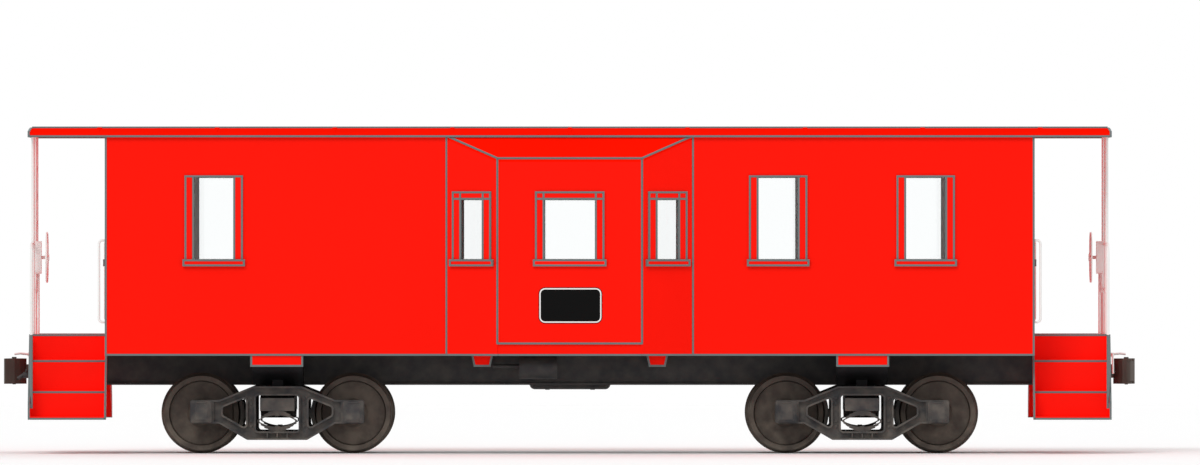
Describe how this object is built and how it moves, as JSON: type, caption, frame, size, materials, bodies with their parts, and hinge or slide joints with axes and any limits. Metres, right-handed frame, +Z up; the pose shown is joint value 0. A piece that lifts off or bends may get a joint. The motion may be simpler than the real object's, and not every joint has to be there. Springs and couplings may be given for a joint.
{
  "type": "bay window caboose",
  "caption": "Full-size bay window caboose: steel cabin with end platforms, boarding steps and railings, on two four-wheel trucks, with opening end doors.",
  "frame": {"origin": "on the floor under the car's middle, at the wheel flanges' lowest points", "axes": "+X along the car towards end b, +Y towards the far side, +Z up"},
  "size_m": [12.516, 3.28, 3.6089],
  "materials": {
    "body_red": "satin",
    "roof_red": "satin",
    "step_red": "satin",
    "frame_red": "satin",
    "rail_white": "satin",
    "edge_grey": "satin",
    "truck_black": "matte",
    "spring_steel": "matte",
    "wheel_steel": "worn tread",
    "coupler_iron": "rough",
    "window_glass": "clear",
    "door_red": "satin",
    "floor_wood": "worn",
    "seat_fabric": "worn",
    "locker_paint": "satin"
  },
  "bodies": {
    "car_body": {"air_brake_gear": "truck_black", "bay_cheeks": "body_red", "bay_cushions": "seat_fabric", "bay_faces": "body_red", "bay_floors": "floor_wood", "bay_roofs": "body_red", "bay_seats": "locker_paint", "bench_lockers": "locker_paint", "body_bolsters": "body_red", "cabin_floor": "floor_wood", "centre_sill": "truck_black", "corner_grabs": "rail_white", "corner_rails": "rail_white", "couplers": "coupler_iron", "crossbearers": "body_red", "door_frames": "frame_red", "end_walls": "body_red", "floor_joists": "truck_black", "hand_brake_stands": "rail_white", "hand_brake_wheels": "rail_white", "platforms": "step_red", "railing_posts": "rail_white", "railing_rails": "rail_white", "roof": "roof_red", "roof_ridge_cap": "edge_grey", "side_sills": "body_red", "side_walls": "body_red", "step_plates": "step_red", "step_treads": "step_red", "window_frames": "frame_red", "window_glass": "window_glass"},
    "truck_a": {"brake_beams_a": "truck_black", "spring_plank_a": "truck_black", "truck_bolster_a": "truck_black", "truck_side_frames_a": "truck_black", "truck_springs_a": "spring_steel"},
    "truck_b": {"brake_beams_b": "truck_black", "spring_plank_b": "truck_black", "truck_bolster_b": "truck_black", "truck_side_frames_b": "truck_black", "truck_springs_b": "spring_steel"},
    "wheelset_a1": {"axle_a1": "wheel_steel", "wheels_a1": "wheel_steel"},
    "wheelset_a2": {"axle_a2": "wheel_steel", "wheels_a2": "wheel_steel"},
    "wheelset_b1": {"axle_b1": "wheel_steel", "wheels_b1": "wheel_steel"},
    "wheelset_b2": {"axle_b2": "wheel_steel", "wheels_b2": "wheel_steel"},
    "door_a": {"door_glass_a": "window_glass", "door_leaf_a": "door_red"},
    "door_b": {"door_glass_b": "window_glass", "door_leaf_b": "door_red"},
    "knuckle_a": {"knuckle_a": "coupler_iron"},
    "knuckle_b": {"knuckle_b": "coupler_iron"}
  },
  "joints": [
    {"name": "truck_a_swivel", "type": "hinge", "parent": "car_body", "child": "truck_a", "pos_m": [-3.223, 0, 0.68], "axis": [0, 0, 1], "range_deg": [-8, 8]},
    {"name": "wheelset_a1_roll", "type": "hinge", "parent": "truck_a", "child": "wheelset_a1", "pos_m": [-4.061, 0, 0.445], "axis": [0, 1, 0], "continuous": true},
    {"name": "wheelset_a2_roll", "type": "hinge", "parent": "truck_a", "child": "wheelset_a2", "pos_m": [-2.385, 0, 0.445], "axis": [0, 1, 0], "continuous": true},
    {"name": "truck_b_swivel", "type": "hinge", "parent": "car_body", "child": "truck_b", "pos_m": [3.223, 0, 0.68], "axis": [0, 0, 1], "range_deg": [-8, 8]},
    {"name": "wheelset_b1_roll", "type": "hinge", "parent": "truck_b", "child": "wheelset_b1", "pos_m": [2.385, 0, 0.445], "axis": [0, 1, 0], "continuous": true},
    {"name": "wheelset_b2_roll", "type": "hinge", "parent": "truck_b", "child": "wheelset_b2", "pos_m": [4.061, 0, 0.445], "axis": [0, 1, 0], "continuous": true},
    {"name": "door_b_swing", "type": "hinge", "parent": "car_body", "child": "door_b", "pos_m": [5.0365, 0.381, 2.3], "axis": [0, 0, 1], "range_deg": [-95, 0]},
    {"name": "door_a_swing", "type": "hinge", "parent": "car_body", "child": "door_a", "pos_m": [-5.0365, -0.381, 2.3], "axis": [0, 0, 1], "range_deg": [-95, 0]},
    {"name": "knuckle_b_swing", "type": "hinge", "parent": "car_body", "child": "knuckle_b", "pos_m": [6.155, -0.128, 0.902], "axis": [0, 0, 1], "range_deg": [-45, 0]},
    {"name": "knuckle_a_swing", "type": "hinge", "parent": "car_body", "child": "knuckle_a", "pos_m": [-6.155, 0.128, 0.902], "axis": [0, 0, 1], "range_deg": [-45, 0]}
  ]
}
